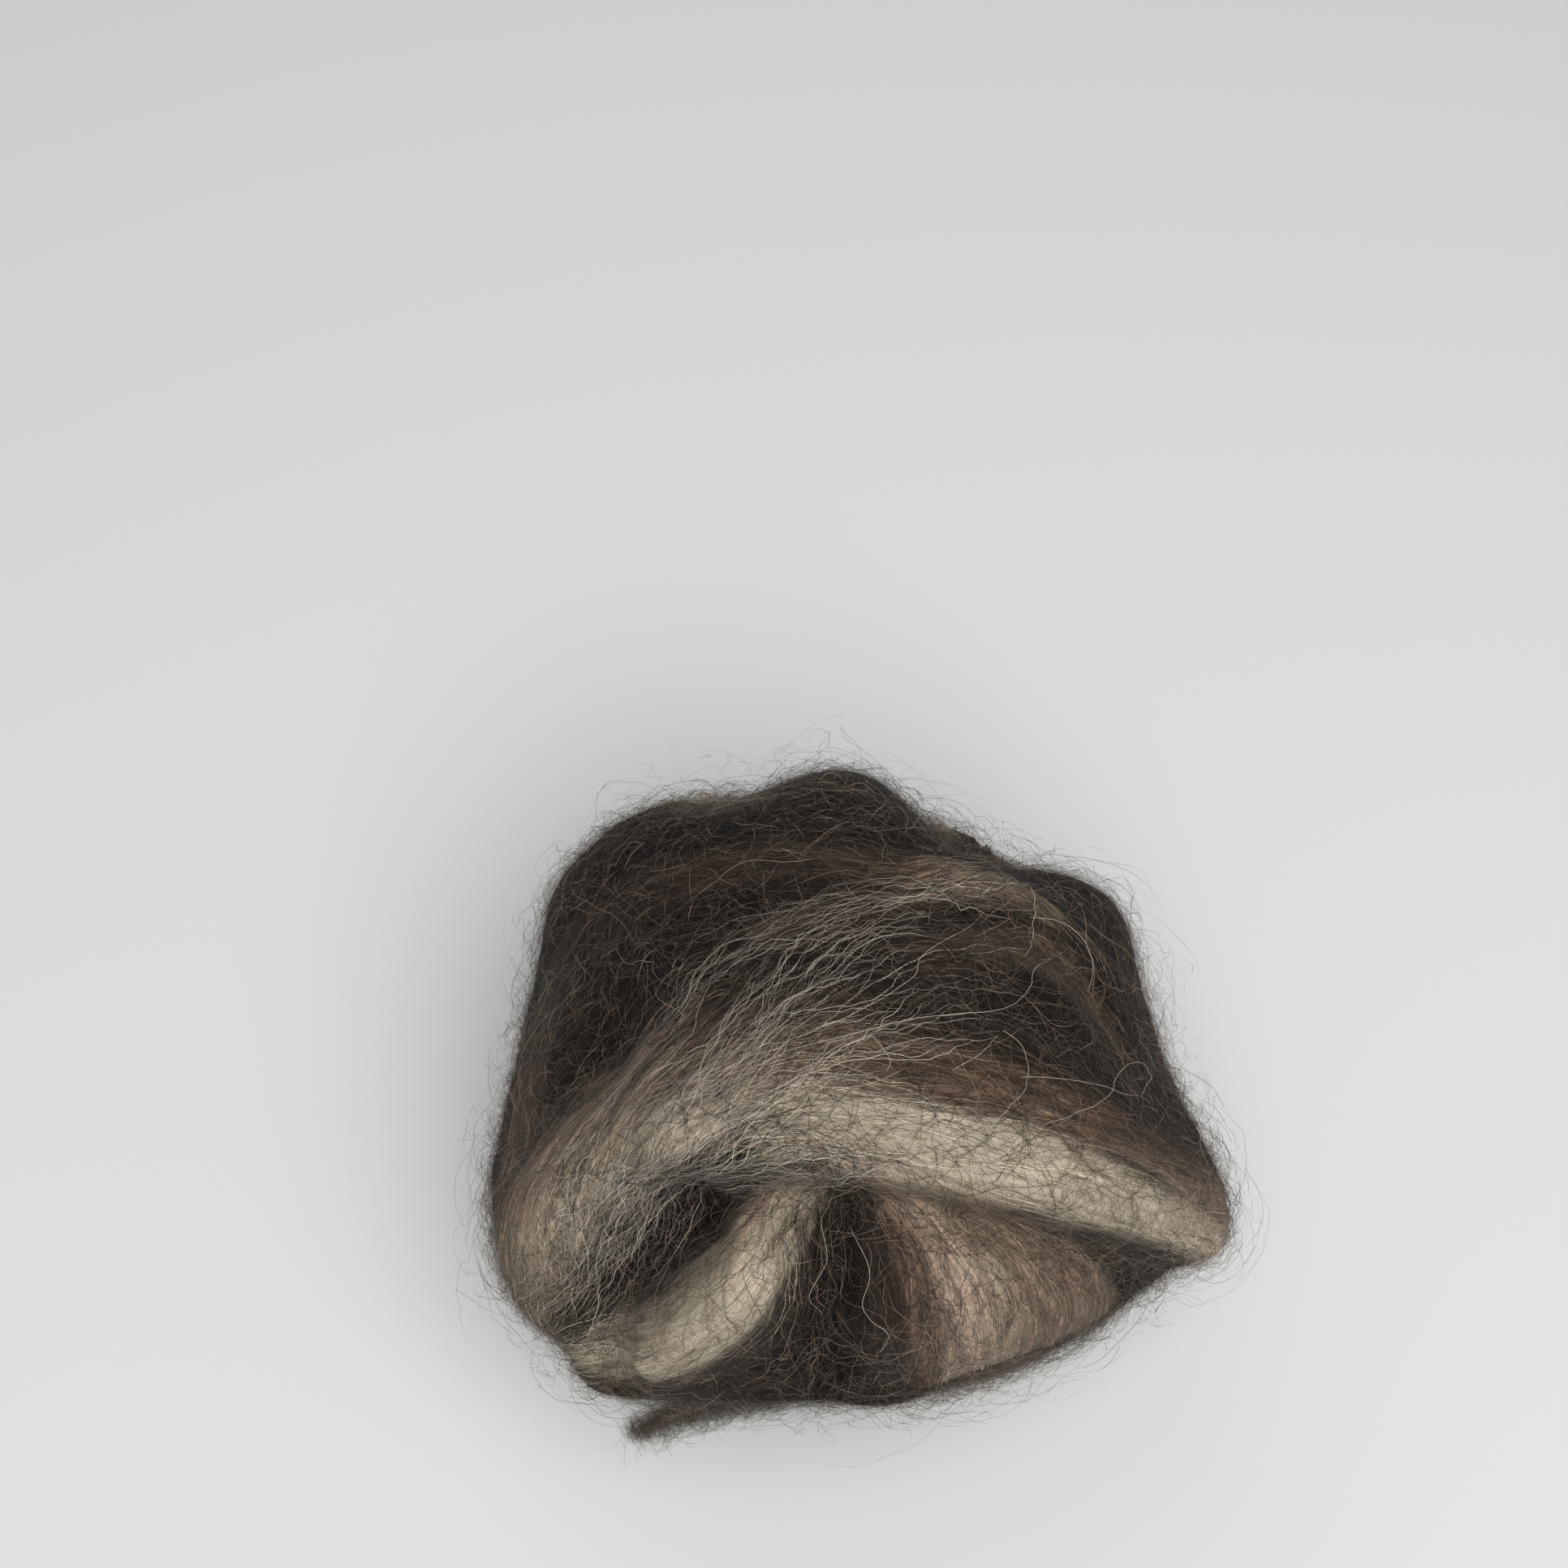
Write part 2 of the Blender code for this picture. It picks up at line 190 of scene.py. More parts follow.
# Wisps: pale fibres that lie over the locks, down from the right shoulder to the left wrap. The width counts
# for how far they spread, and the share for how close they lie.
Wisp = namedtuple("Wisp", "share half_width_mm route lay_deg", defaults=(0.0,))
WISPS = [
    Wisp(0.11, 1.8, [(20, 41), (10, 38), (0, 35), (-11, 30), (-19, 26), (-26, 21), (-31, 13), (-41, -3)]),
    Wisp(0.08, 2.2, [(-12, 21), (-16, 16), (-20, 10), (-24, 3), (-30, -4), (-37, -11), (-49, -21)]),
    Wisp(0.15, 2.2, [(-8, 18), (-14, 13), (-20, 5), (-25, -1), (-30, -8), (-41, -17), (-50, -28)]),
    Wisp(0.20, 1.8, [(0, 8), (-7, 5), (-13, 0), (-19, -5), (-27, -11), (-38, -19), (-48, -28)]),
    Wisp(0.05, 1.2, [(26, 27), (20, 24.6), (9, 22), (0, 16), (-7, 12), (-14, 6)]),
    Wisp(0.13, 1.0, [(8, -9), (-4, -9), (-16, -10), (-27, -13), (-38, -21), (-47, -30)]),
]
# Single long fibres that catch the eye: how far off the skin they lie, and their route.
STRAYS = [
    (1.6, [(24, 11), (26.8, 8), (26.5, 4), (25, 1), (22, -1.5), (19, -4), (17, -6)]),
    (1.3, [(26, 3), (30, 3), (37, 2.5), (44.5, 1.5), (50, 0.3), (57, 0)]),
    (1.5, [
        (-12, 6.5), (-3, 9), (1, 10), (8, 12), (15, 13), (22, 14), (27, 16), (30.5, 19.5), (32, 23), (40, 28)
    ]),
    (1.2, [(-8, 10), (-3, 12), (2.5, 15), (6, 17.5), (9, 20), (10, 23), (14, 26.5), (20, 31), (26, 37.5)]),
    (2.2, [(34.5, 42), (34.7, 36), (33.5, 30), (30, 25)]),
    (2.0, [
        (56, 0), (61, 4), (58.5, 6.5), (52, 6), (46.5, 3.5), (43.5, 0.5), (39, -1.5), (34, -3), (28, -4.5)
    ]),
    (1.8, [(35, 36), (40.5, 34), (45, 30), (47.5, 25.5), (48, 21)]),
    (1.0, [(14, 4), (18.5, 6.5), (23, 10)]),
    (1.0, [(-8, -1), (-3, 1), (0, 1.5), (3, 2.5), (6, 4)]),
    (1.2, [(1, 9.5), (3, 7), (4, 5), (3.3, 3.5)]),
    (1.6, [(-2, -22), (1, -27), (0, -33), (4, -37), (3, -43)]),
    (1.4, [(-8, -20), (-6, -28), (-9, -34), (-7, -40)]),
]
STRAY_THICKNESS_MM = 0.019
STRAY_STEPS = 8
STRAY_SHADE = 0.9
STRAY_TIP = 0.4
# The part of a half wave that a stray's height follows along it.
STRAY_RISE = (0.15, 0.9)

# Where curls gather: the place, and how far they spread, in degrees.
CURLY_PLACES = [(-44, 34, 20), (48, 18, 22), (0, -50, 18), (62, -8, 16), (-10, 40, 24), (20, -46, 14)]
CURLS_LEAST = 0.3
# Where fibres thin out: above the floor, from the front to the back, and from the outline to the face. Each
# has its start and its length, the first in metres and the others in degrees from the face.
FLOOR_FADE = (0.001, 0.006)
BACK_FADE = (78, 20)
FUZZ_FADE = (48, 26)
FUZZ_LEAST = 0.4

# How far a lock's colour reaches, how its edge frays, and the widths of the strands in it.
LINE_POINTS = 90
LOCK_FALL = 1.4
FAR_WEIGHT = 0.00002
EDGE_STREAKS = 0.75
EDGE_STREAK_LENGTHS_MM = (1.5, 2.3)
RELIEF_LENGTHS_MM = (1.7, 2.4, 3.6)
BUNDLE_LENGTHS_MM = (1.2, 2.0, 3.4)
BUNDLE_CONTRAST = 0.85
BUNDLE_LENGTH_MM = 10.0
SWAY_LENGTHS_MM = (14, 26)
SWAY = 1.3
# The shift between the strands of one lock and the next: in bundles, their slant, the relief and the map of
# strands, which is in units of 100 mm.
BUNDLE_SHIFT_MM = 4.7
SLANT_SHIFT = 3.0
RELIEF_SHIFT_MM = 3.1
MAP_SHIFT = 0.731
MAP_PER_MM = 0.01
# How much a bundle fades along its length, how it slants, and how dark and how light the wool gets at most.
BUNDLE_FADING = 0.4
BUNDLE_SLANT = 1.9
WOOL_LIGHT = (0.2, 1.8)
# How strongly streaks show, and how closely fibres cross the wool, from the dark shades to the pale ones.
CROSSING_SHADES = (0.1, 0.45)
CROSSING_SHARES = (1.0, 0.5)
STREAKY_SHADES = (0.05, 0.5)
STREAKY_SHARES = (1.0, 0.28)

# The looks of all wool.
WOOL_LOOKS = {"Specular IOR Level": 0.18, "Sheen Roughness": 0.5}
# The strands in the skin's colour: how often they change per 100 mm along and across, their detail, and the
# light that they turn into (from, to, darkest, lightest). Where the middle ones are light the wool is warmer.
SKIN_STRANDS = {
    "fine": ((22.0, 620.0, 3.0), (0.3, 0.7, 0.55, 1.5)),
    "middle": ((9.0, 190.0, 3.0), (0.3, 0.7, 0.6, 1.45)),
    "broad": ((4.0, 55.0, 2.0), (0.35, 0.65, 0.75, 1.25)),
}
STRAND_BENDS = (140.0, 0.02)
STRAND_BUMPS = {"Strength": 0.7, "Distance": 0.0005}
WARMTH = (1.10, 0.96, 0.86)
WARMED = (0.5, 0.8, 0.0, 0.7)
# Fibres: their roughness and sheen, how dark and how light one may be beside its colour, and how rare the
# light ones are. Then how often their light changes along them, the colours of those that don't take the
# wool's, and the brightness of the wool between which crossing ones change colour.
FIBRE_LOOKS = {
    "laid fibre": (0.7, 0.02, 0.5, 2.4, 2.0),
    "crossing fibre": (0.6, 0.05, 0.35, 10.0, 5.0),
    "pale fibre": (0.55, 0.1, 0.35, 1.3, 2.2),
    "fuzz fibre": (0.55, 0.1, 0.3, 3.6, 2.2),
}
PATCHES_PER_M = 600.0
PALE_FIBRE = (0.62, 0.55, 0.46, 1.0)
FUZZ_FIBRE = (0.088, 0.064, 0.048, 1.0)
CROSSING_DARK_WOOL = (0.020, 0.0145, 0.011, 1.0)
CROSSING_PALE_WOOL = (0.045, 0.028, 0.020, 1.0)
PALE_WOOL_FROM = (0.07, 0.16)

# What is said of a kind of fibre, and taken in by the tree: the input's name and type, the size in metres or
# radians of the unit that it is given in (per cm2, mm, degrees or per mm), and its usual value.
DEGREE = math.radians(1)
FIBRE_FIELDS = [
    ("growth", "String", None, "front"),
    ("material", "Material", None, "laid"),
    ("seed", "Int", None, 0),
    ("density", "Float", 1e4, 10),
    ("steps", "Int", None, 10),
    ("step", "Float", MM, 1.5),
    ("thickness", "Float", MM, 0.02),
    ("flow", "String", None, "flow"),
    ("turn", "Float", DEGREE, 10),
    ("wander", "Float", DEGREE, 14),
    ("wander_rate", "Float", 1 / MM, 0.13),
    ("lift", "Float", MM, 0.12),
    ("arch", "Float", MM, 0.35),
    ("free_end", "Float", None, 0.0),
    ("crimp", "Float", MM, 0.09),
    ("crimp_length", "Float", MM, 4.5),
    ("loop", "Float", None, 0.0),
    ("stray", "Float", MM, 0.0),
    ("tumbled", "Bool", None, False),
]
FibreKind = namedtuple(
    "FibreKind", ["name"] + [row[0] for row in FIBRE_FIELDS], defaults=[row[3] for row in FIBRE_FIELDS]
)
FIBRE_KINDS = [
    FibreKind("laid_fibres_front", "front", "laid", 3, density=66, steps=10, step=1.5, thickness=0.027),
    FibreKind("laid_fibres_back", "back", "laid", 5, density=32, steps=11, step=1.5, thickness=0.044),
    FibreKind(
        "matted_fibres_front", "crossing_front", "contrast", 27, density=48, steps=22, step=0.45,
        thickness=0.020, turn=80, wander=46, lift=0.3, arch=0.6, crimp=0.17, crimp_length=2.4, loop=0.3,
    ),
    FibreKind(
        "crossing_fibres_front", "crossing_front", "contrast", 7, density=34, steps=12, step=1.1,
        thickness=0.019, turn=64, wander=42, lift=0.25, arch=0.55, crimp=0.15,
    ),
    FibreKind(
        "matted_fibres_back", "crossing_back", "contrast", 9, density=30, steps=16, step=0.7,
        thickness=0.032, turn=80, wander=46, lift=0.3, arch=0.6, crimp=0.24, crimp_length=3.0, loop=0.3,
    ),
    FibreKind(
        "pale_wisps", "wisps", "pale", 11, density=580, steps=16, step=1.1, thickness=0.017,
        flow="wisp_flow", turn=17, wander=30, lift=0.3, arch=1.0, free_end=0.15, crimp=0.2, crimp_length=3.4,
    ),
    FibreKind(
        "curls", "curls", "fuzz", 13, density=14, steps=26, step=0.62, thickness=0.018, turn=90,
        wander=60, lift=0.3, arch=1.6, free_end=0.4, crimp=0.7, crimp_length=7.0, loop=0.7,
        stray=0.8, tumbled=True,
    ),
    FibreKind(
        "short_fuzz", "fuzzy", "fuzz", 17, density=78, steps=6, step=0.65, thickness=0.017, turn=90,
        wander=50, lift=0.3, arch=2.6, free_end=1.0, crimp=0.14, stray=1.0, tumbled=True,
    ),
    FibreKind(
        "long_flyaways", "fuzzy", "fuzz", 19, density=8.5, steps=16, step=0.95, thickness=0.017,
        turn=90, wander=60, lift=0.3, arch=6.0, free_end=0.8, crimp=0.35, crimp_length=6.5, loop=0.2,
        stray=4.0, tumbled=True,
    ),
]
LOCK_FIBRES = FibreKind(
    "loose_end_fibres", "all", "laid", 23, density=1050, steps=9, step=0.72, thickness=0.017, turn=55,
    wander=55, lift=0.3, arch=2.2, free_end=0.9, crimp=0.32, crimp_length=2.4, stray=3.0, tumbled=True,
)


# SMALL HELPERS


def unit(vectors):
    """The vectors at length one."""
    return vectors / np.maximum(np.linalg.norm(vectors, axis=-1, keepdims=True), 1e-12)


def ease(share):
    """Zero to one with level ends."""
    share = np.clip(share, 0.0, 1.0)
    return share * share * (3 - 2 * share)


def direction(across, up):
    """The direction from the ball's middle to a place given in degrees from its face."""
    turn = math.radians(math.hypot(across, up))
    if turn == 0:
        return FACE.copy()
    return FACE * math.cos(turn) + unit(ACROSS * across + UP * up) * math.sin(turn)


def smooth_line(points, steps):
    """Points on one smooth curve (Catmull-Rom) through the given points."""
    points = np.asarray(points, float)
    padded = np.vstack([2 * points[0] - points[1], points, 2 * points[-1] - points[-2]])
    line = []
    for before, start, end, after in zip(padded, padded[1:], padded[2:], padded[3:]):
        bend = 2 * before - 5 * start + 4 * end - after
        twist = 3 * start - before - 3 * end + after
        for t in np.arange(steps) / steps:
            line.append(0.5 * (2 * start + (end - before) * t + bend * t**2 + twist * t**3))
    return np.array(line + [points[-1]])


def new_object(name, mesh):
    made = bpy.data.objects.new(name, mesh)
    bpy.context.scene.collection.objects.link(made)
    return made


def baked_mesh(made):
    """The object's mesh as its modifiers leave it."""
    graph = bpy.context.evaluated_depsgraph_get()
    return bpy.data.meshes.new_from_object(made.evaluated_get(graph))


def numbers(items, field, kind, width=1):
    """One field of all the items, as an array."""
    values = np.empty(len(items) * width, kind)
    items.foreach_get(field, values)
    return values


def mesh_vectors(mesh, field):
    """Where the mesh's points are ("co"), or the way that they face ("normal")."""
    return numbers(mesh.vertices, field, np.float32, 3).reshape(-1, 3).astype(float)


def face_corners(mesh):
    """The number of the point at each corner of the mesh's faces."""
    return numbers(mesh.loops, "vertex_index", np.int64)


def opaque(colours):
    return np.hstack([colours, np.ones((len(colours), 1))]).astype(np.float32)


def plain_shader(name, looks):
    """A new material and its shader, with the values that are the same all over."""
    material = bpy.data.materials.new(name)
    material.use_nodes = True
    shader = material.node_tree.nodes["Principled BSDF"]
    for key, value in looks.items():
        shader.inputs[key].default_value = value
    return material, shader


def store(mesh, name, kind, values):
    """A point attribute of the mesh."""
    field = {"FLOAT": "value", "FLOAT_VECTOR": "vector", "FLOAT_COLOR": "color"}[kind]
    made = mesh.attributes.new(name, kind, "POINT")
    made.data.foreach_set(field, np.asarray(values, np.float32).ravel())


def store_strands(mesh, along, across):
    """The UV map along and across the strands, in units of 100 mm, one row a corner."""
    made = mesh.uv_layers.new(name="strands")
    made.data.foreach_set("uv", np.column_stack([along, across]).astype(np.float32).ravel())


# THE VIEW, THE FLOOR AND THE LIGHT


def add_camera():
    """The camera sees the ball's middle where the photograph shows it."""
    focal_px = LENS_MM / SENSOR_MM * FRAME_PX
    right_px = MIDDLE_AT_PX[0] - FRAME_PX / 2
    down_px = MIDDLE_AT_PX[1] - FRAME_PX / 2
    below_axis = math.atan(down_px / focal_px)
    camera = new_object("camera", bpy.data.cameras.new("camera"))
    camera.data.lens = LENS_MM
    camera.data.sensor_width = SENSOR_MM
    camera.data.sensor_fit = "HORIZONTAL"
    place = MIDDLE + FACE * VIEW_DISTANCE
    place[0] -= right_px / focal_px * VIEW_DISTANCE * math.cos(below_axis)
    camera.location = place
    camera.rotation_euler = (math.pi / 2 - FACE_RISE + below_axis, 0.0, 0.0)
    bpy.context.scene.camera = camera


def add_floor():
    bpy.ops.mesh.primitive_plane_add(size=FLOOR_SIZE)
    floor = bpy.context.object
    floor.name = "floor"
    floor.data.materials.append(plain_shader("pale paper", FLOOR_LOOKS)[0])


def add_area_light(name, place, size, power, colour):
    light = new_object(name, bpy.data.lights.new(name, "AREA"))
    light.data.shape = "DISK"
    light.data.size = size
    light.data.energy = power
    light.data.color = colour
    light.location = place
    aim = Vector(MIDDLE) - Vector(place)
    light.rotation_euler = aim.to_track_quat("-Z", "Y").to_euler()


def add_lights():
    world = bpy.data.worlds.new("soft room")
    world.use_nodes = True
    sky = world.node_tree.nodes["Background"]
    sky.inputs["Color"].default_value = SKY_COLOUR
    sky.inputs["Strength"].default_value = SKY_STRENGTH
    bpy.context.scene.world = world
    for name, lamp in LAMPS.items():
        add_area_light(name, *lamp)
    bpy.context.scene.view_settings.view_transform = "Standard"


# WHERE THE WOOL LIES AND WHAT SHADE IT HAS


def lie_along(places, route):
    """How places lie to a lock: its way there, and the millimetres along it, beside it and away from it."""
    line = unit(smooth_line([direction(*place) for place in route], LINE_POINTS // len(route)))
    run = np.concatenate([[0.0], np.cumsum(np.linalg.norm(np.diff(line, axis=0), axis=1))])
    ways = unit(np.gradient(line, axis=0))
    sides = np.cross(ways, line)
    nearest = (places @ line.T).argmax(axis=1)
    apart = places - line[nearest]
    along = run[nearest] + (apart * ways[nearest]).sum(axis=1)
    beside = (apart * sides[nearest]).sum(axis=1)
    away = np.linalg.norm(apart, axis=1)
    to_mm = MEAN_RADIUS / MM
    return ways[nearest], along * to_mm, beside * to_mm, away * to_mm


def streaks(along, beside, lengths_mm, rng):
    """Waves across a lock, from minus one to one, which sway along it."""
    wave = np.zeros(len(along))
    for length_mm in lengths_mm:
        start, sway_start = rng.uniform(0, 2 * math.pi, 2)
        sway = SWAY * np.sin(2 * math.pi * along / rng.uniform(*SWAY_LENGTHS_MM) + sway_start)
        wave += np.sin(2 * math.pi * beside / length_mm + start + sway)
    return wave / len(lengths_mm)


class Lie:
    """How the locks of a table lie at many places: their weights, ways and measures, one row a lock."""

    def __init__(self, places, locks, rng):
        rows = [lie_along(places, lock.route) for lock in locks]
        ways, along, beside, away = (np.array(column) for column in zip(*rows))
        lay = np.radians([lock.lay_deg for lock in locks])[:, None]
        self.along = along * np.cos(lay) + beside * np.sin(lay)
        self.beside = beside * np.cos(lay) - along * np.sin(lay)
        sides = np.cross(ways, places[None])
        self.ways = ways * np.cos(lay)[..., None] + sides * np.sin(lay)[..., None]
        widths = np.array([lock.half_width_mm for lock in locks])[:, None]
        edges = [
            streaks(along, beside, EDGE_STREAK_LENGTHS_MM, rng)
            for along, beside in zip(self.along, self.beside)
        ]
        fall = np.exp(EDGE_STREAKS * np.array(edges) - LOCK_FALL * (away / widths) ** 2)
        self.weights = fall + FAR_WEIGHT / (1 + (away / widths) ** 2)
        self.owner = self.weights.argmax(axis=0)

    def own(self, rows):
        """At each place the value of the lock that it belongs to."""
        return rows[self.owner, np.arange(len(self.owner))]

    def flow(self, normals):
        """The direction that the fibres share at each place, whichever way round each lock runs."""
        tensor = np.zeros((len(self.owner), 3, 3))
        for weight, way in zip(self.weights, self.ways):
            tensor += weight[:, None, None] * way[:, :, None] * way[:, None, :]
        way = np.linalg.eigh(tensor)[1][:, :, -1]
        return unit(way - (way * normals).sum(axis=1, keepdims=True) * normals)

    def colours(self, locks, rng):
        """The mixed shades of the locks, with bundles of darker and lighter fibres in them."""
        shares = (self.weights / self.weights.sum(axis=0)).T
        mixed = shares @ np.array([SHADES[lock.shade] for lock in locks])
        along, beside = self.own(self.along), self.own(self.beside) + BUNDLE_SHIFT_MM * self.owner
        bundles = streaks(along, beside, BUNDLE_LENGTHS_MM, rng)
        slant = 2 * math.pi * (along + BUNDLE_SLANT * beside) / BUNDLE_LENGTH_MM
        bundles *= 1 - BUNDLE_FADING + BUNDLE_FADING * np.sin(slant + SLANT_SHIFT * self.owner)
        change = BUNDLE_CONTRAST * self.streakiness(locks) * bundles
        return mixed * np.clip(1 + change, *WOOL_LIGHT)[:, None]

    def streakiness(self, locks):
        """How strongly streaks show: pale wool is more even than dark wool."""
        brightness = [sum(SHADES[lock.shade]) / 3 for lock in locks]
        contrasts = np.interp(brightness, STREAKY_SHADES, STREAKY_SHARES) * [lock.contrast for lock in locks]
        return (self.weights / self.weights.sum(axis=0)).T @ contrasts

    def relief(self, rng):
        """Ridges along the locks, from minus one to one, that fade where two locks meet."""
        order = np.sort(self.weights, axis=0)
        lead = (order[-1] - order[-2]) / (order[-1] + order[-2])
        along, beside = self.own(self.along), self.own(self.beside)
        beside = beside + RELIEF_SHIFT_MM * self.owner
        return streaks(along, beside, RELIEF_LENGTHS_MM, rng) * lead


def strand_map(mesh, lie):
    """Lays the strands of each face along the lock that the face belongs to."""
    corners = face_corners(mesh)
    starts = numbers(mesh.polygons, "loop_start", np.int64)
    totals = numbers(mesh.polygons, "loop_total", np.int64)
    owner = np.repeat(lie.owner[corners[starts]], totals)
    along, beside = (rows[owner, corners] * MAP_PER_MM for rows in (lie.along, lie.beside))
    store_strands(mesh, along, beside + owner * MAP_SHIFT)


# THE SKIN


def fine_copy(node):
    """A smooth, even and fine copy of a CAD node's mesh."""
    shape = bmesh.new()
    shape.from_mesh(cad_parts[node].data)
    bmesh.ops.remove_doubles(shape, verts=shape.verts[:], dist=1e-6)
    mesh = bpy.data.meshes.new("rough skin")
    shape.to_mesh(mesh)
    shape.free()
    rough = new_object("rough_skin", mesh)
    finer = rough.modifiers.new("finer", "SUBSURF")
    finer.levels = finer.render_levels = 1
    even = rough.modifiers.new("even", "REMESH")
    even.mode = "VOXEL"
    even.voxel_size = SKIN_CELL
    even.use_smooth_shade = True
    smooth = rough.modifiers.new("smooth", "SMOOTH")
    smooth.iterations = SKIN_SMOOTHING
    smooth.factor = 0.5
    skin = baked_mesh(rough)
    bpy.data.objects.remove(rough)
    bpy.data.meshes.remove(mesh)
    return skin


def fade(values, start, length):
    return ease((values - start) / length)


def growth_fields(mesh, places, normals, brightness):
    """Where each kind of fibre grows: shares of its full density."""
    turn = np.degrees(np.arccos(np.clip(places @ FACE, -1, 1)))
    above_floor = fade(mesh_vectors(mesh, "co")[:, 2], *FLOOR_FADE)
    front = 1 - fade(turn, *BACK_FADE)
    wisps = Lie(places, WISPS, np.random.default_rng(37))
    store(mesh, "wisp_flow", "FLOAT_VECTOR", wisps.flow(normals))
    shares = np.array([wisp.share for wisp in WISPS])[:, None]
    cover = np.interp(brightness, CROSSING_SHADES, CROSSING_SHARES)
    curly = np.full(len(places), CURLS_LEAST)
    for across, up, spread in CURLY_PLACES:
        away = np.degrees(np.arccos(np.clip(places @ direction(across, up), -1, 1)))
        curly = np.maximum(curly, np.exp(-((away / spread) ** 2)))
    fields = {
        "wisps": np.clip((wisps.weights * shares).max(axis=0), 0, 1) * front,
        "front": front,
        "back": (1 - front) * above_floor,
        "crossing_front": front * above_floor * cover,
        "crossing_back": (1 - front) * above_floor,
        "fuzzy": above_floor * (FUZZ_LEAST + (1 - FUZZ_LEAST) * fade(turn, *FUZZ_FADE)),
        "curls": curly * above_floor,
    }
    for name, field in fields.items():
        store(mesh, name, "FLOAT", field)


def add_skin():
    mesh = fine_copy("roving_ball")
    points = mesh_vectors(mesh, "co")
    normals = mesh_vectors(mesh, "normal")
    places = unit(points - MIDDLE)
    rng = np.random.default_rng(29)
    lie = Lie(places, LOCKS, rng)
    points += normals * lie.relief(rng)[:, None] * STRAND_RELIEF
    points[:, 2] = np.maximum(points[:, 2], SKIN_LOWEST)
    mesh.vertices.foreach_set("co", points.astype(np.float32).ravel())
    mesh.update()
    normals = mesh_vectors(mesh, "normal")
    wool = opaque(lie.colours(LOCKS, rng))
    store(mesh, "flow", "FLOAT_VECTOR", lie.flow(normals))
    store(mesh, "wool", "FLOAT_COLOR", wool)
    store(mesh, "streaky", "FLOAT", lie.streakiness(LOCKS))
    strand_map(mesh, lie)
    growth_fields(mesh, places, normals, wool[:, :3].mean(axis=1))
    mesh.materials.append(MATERIALS["skin"])
    mesh.shade_smooth()
    return new_object("wound_roving", mesh)


def add_loose_end():
    """The loose end's own skin: a soft, uneven, tapering lock that lies on the surface."""
    line = smooth_line(LOOSE_END_ROUTE, LOOSE_END_STEPS)
    shares = np.linspace(0, 1, len(line))
    radii = np.interp(shares, LOOSE_END_SHARES, LOOSE_END_THICKNESS) * LOOSE_END_DIAMETER / 2
    centres = np.column_stack([line, radii])
    ways = unit(np.gradient(centres, axis=0))
    sides = unit(np.cross(ways, [0.0, 0.0, 1.0]))
    ups = np.cross(sides, ways)
    rng = np.random.default_rng(31)
    shape = bmesh.new()
    rings = []
    turns = np.linspace(0, 2 * math.pi, LOOSE_END_SIDES, endpoint=False)
    starts = rng.uniform(0, 2 * math.pi, len(LOOSE_END_BUMPS) + 1)
    wide, high = LOOSE_END_FLATTENING
    mean, neck, necks_along = LOOSE_END_NECKS
    for centre, side, up, radius, share in zip(centres, sides, ups, radii, shares):
        uneven = 1
        for (bump, waves_round, waves_along), start in zip(LOOSE_END_BUMPS, starts):
            uneven = uneven + bump * np.sin(waves_round * turns + waves_along * share + start)
        uneven *= mean + neck * np.sin(necks_along * share + starts[-1])
        ring = []
        for turn, stretch in zip(turns, uneven):
            out = side * math.cos(turn) * wide + up * math.sin(turn) * high
            point = centre + out * radius * stretch
            point[2] = max(point[2], SKIN_LOWEST)
            ring.append(shape.verts.new(point))
        rings.append(ring)
    for lower, upper in zip(rings, rings[1:]):
        for number in range(LOOSE_END_SIDES):
            after = (number + 1) % LOOSE_END_SIDES
            shape.faces.new((lower[number], lower[after], upper[after], upper[number]))
    shape.faces.new(rings[0][::-1])
    shape.faces.new(rings[-1])
    bmesh.ops.recalc_face_normals(shape, faces=shape.faces[:])
    mesh = bpy.data.meshes.new("loose_end_lock")
    shape.to_mesh(mesh)
    shape.free()
    nearest = np.repeat(np.arange(len(line)), LOOSE_END_SIDES)
    store(mesh, "flow", "FLOAT_VECTOR", ways[nearest])
    store(mesh, "all", "FLOAT", np.ones(len(nearest)))
    tone = shares[nearest][:, None]
    root_shade, tip_shade = np.array(LOOSE_END_SHADES)
    store(mesh, "wool", "FLOAT_COLOR", opaque((1 - tone) * root_shade + tone * tip_shade))
    store(mesh, "streaky", "FLOAT", np.ones(len(nearest)))
    corners = face_corners(mesh)
    length, girth = LOOSE_END_MAP
    along = shares[corners // LOOSE_END_SIDES] * length
    store_strands(mesh, along, (corners % LOOSE_END_SIDES) / LOOSE_END_SIDES * girth)
    mesh.materials.append(MATERIALS["skin"])
    mesh.shade_smooth()
    return new_object("loose_end_lock", mesh), centres


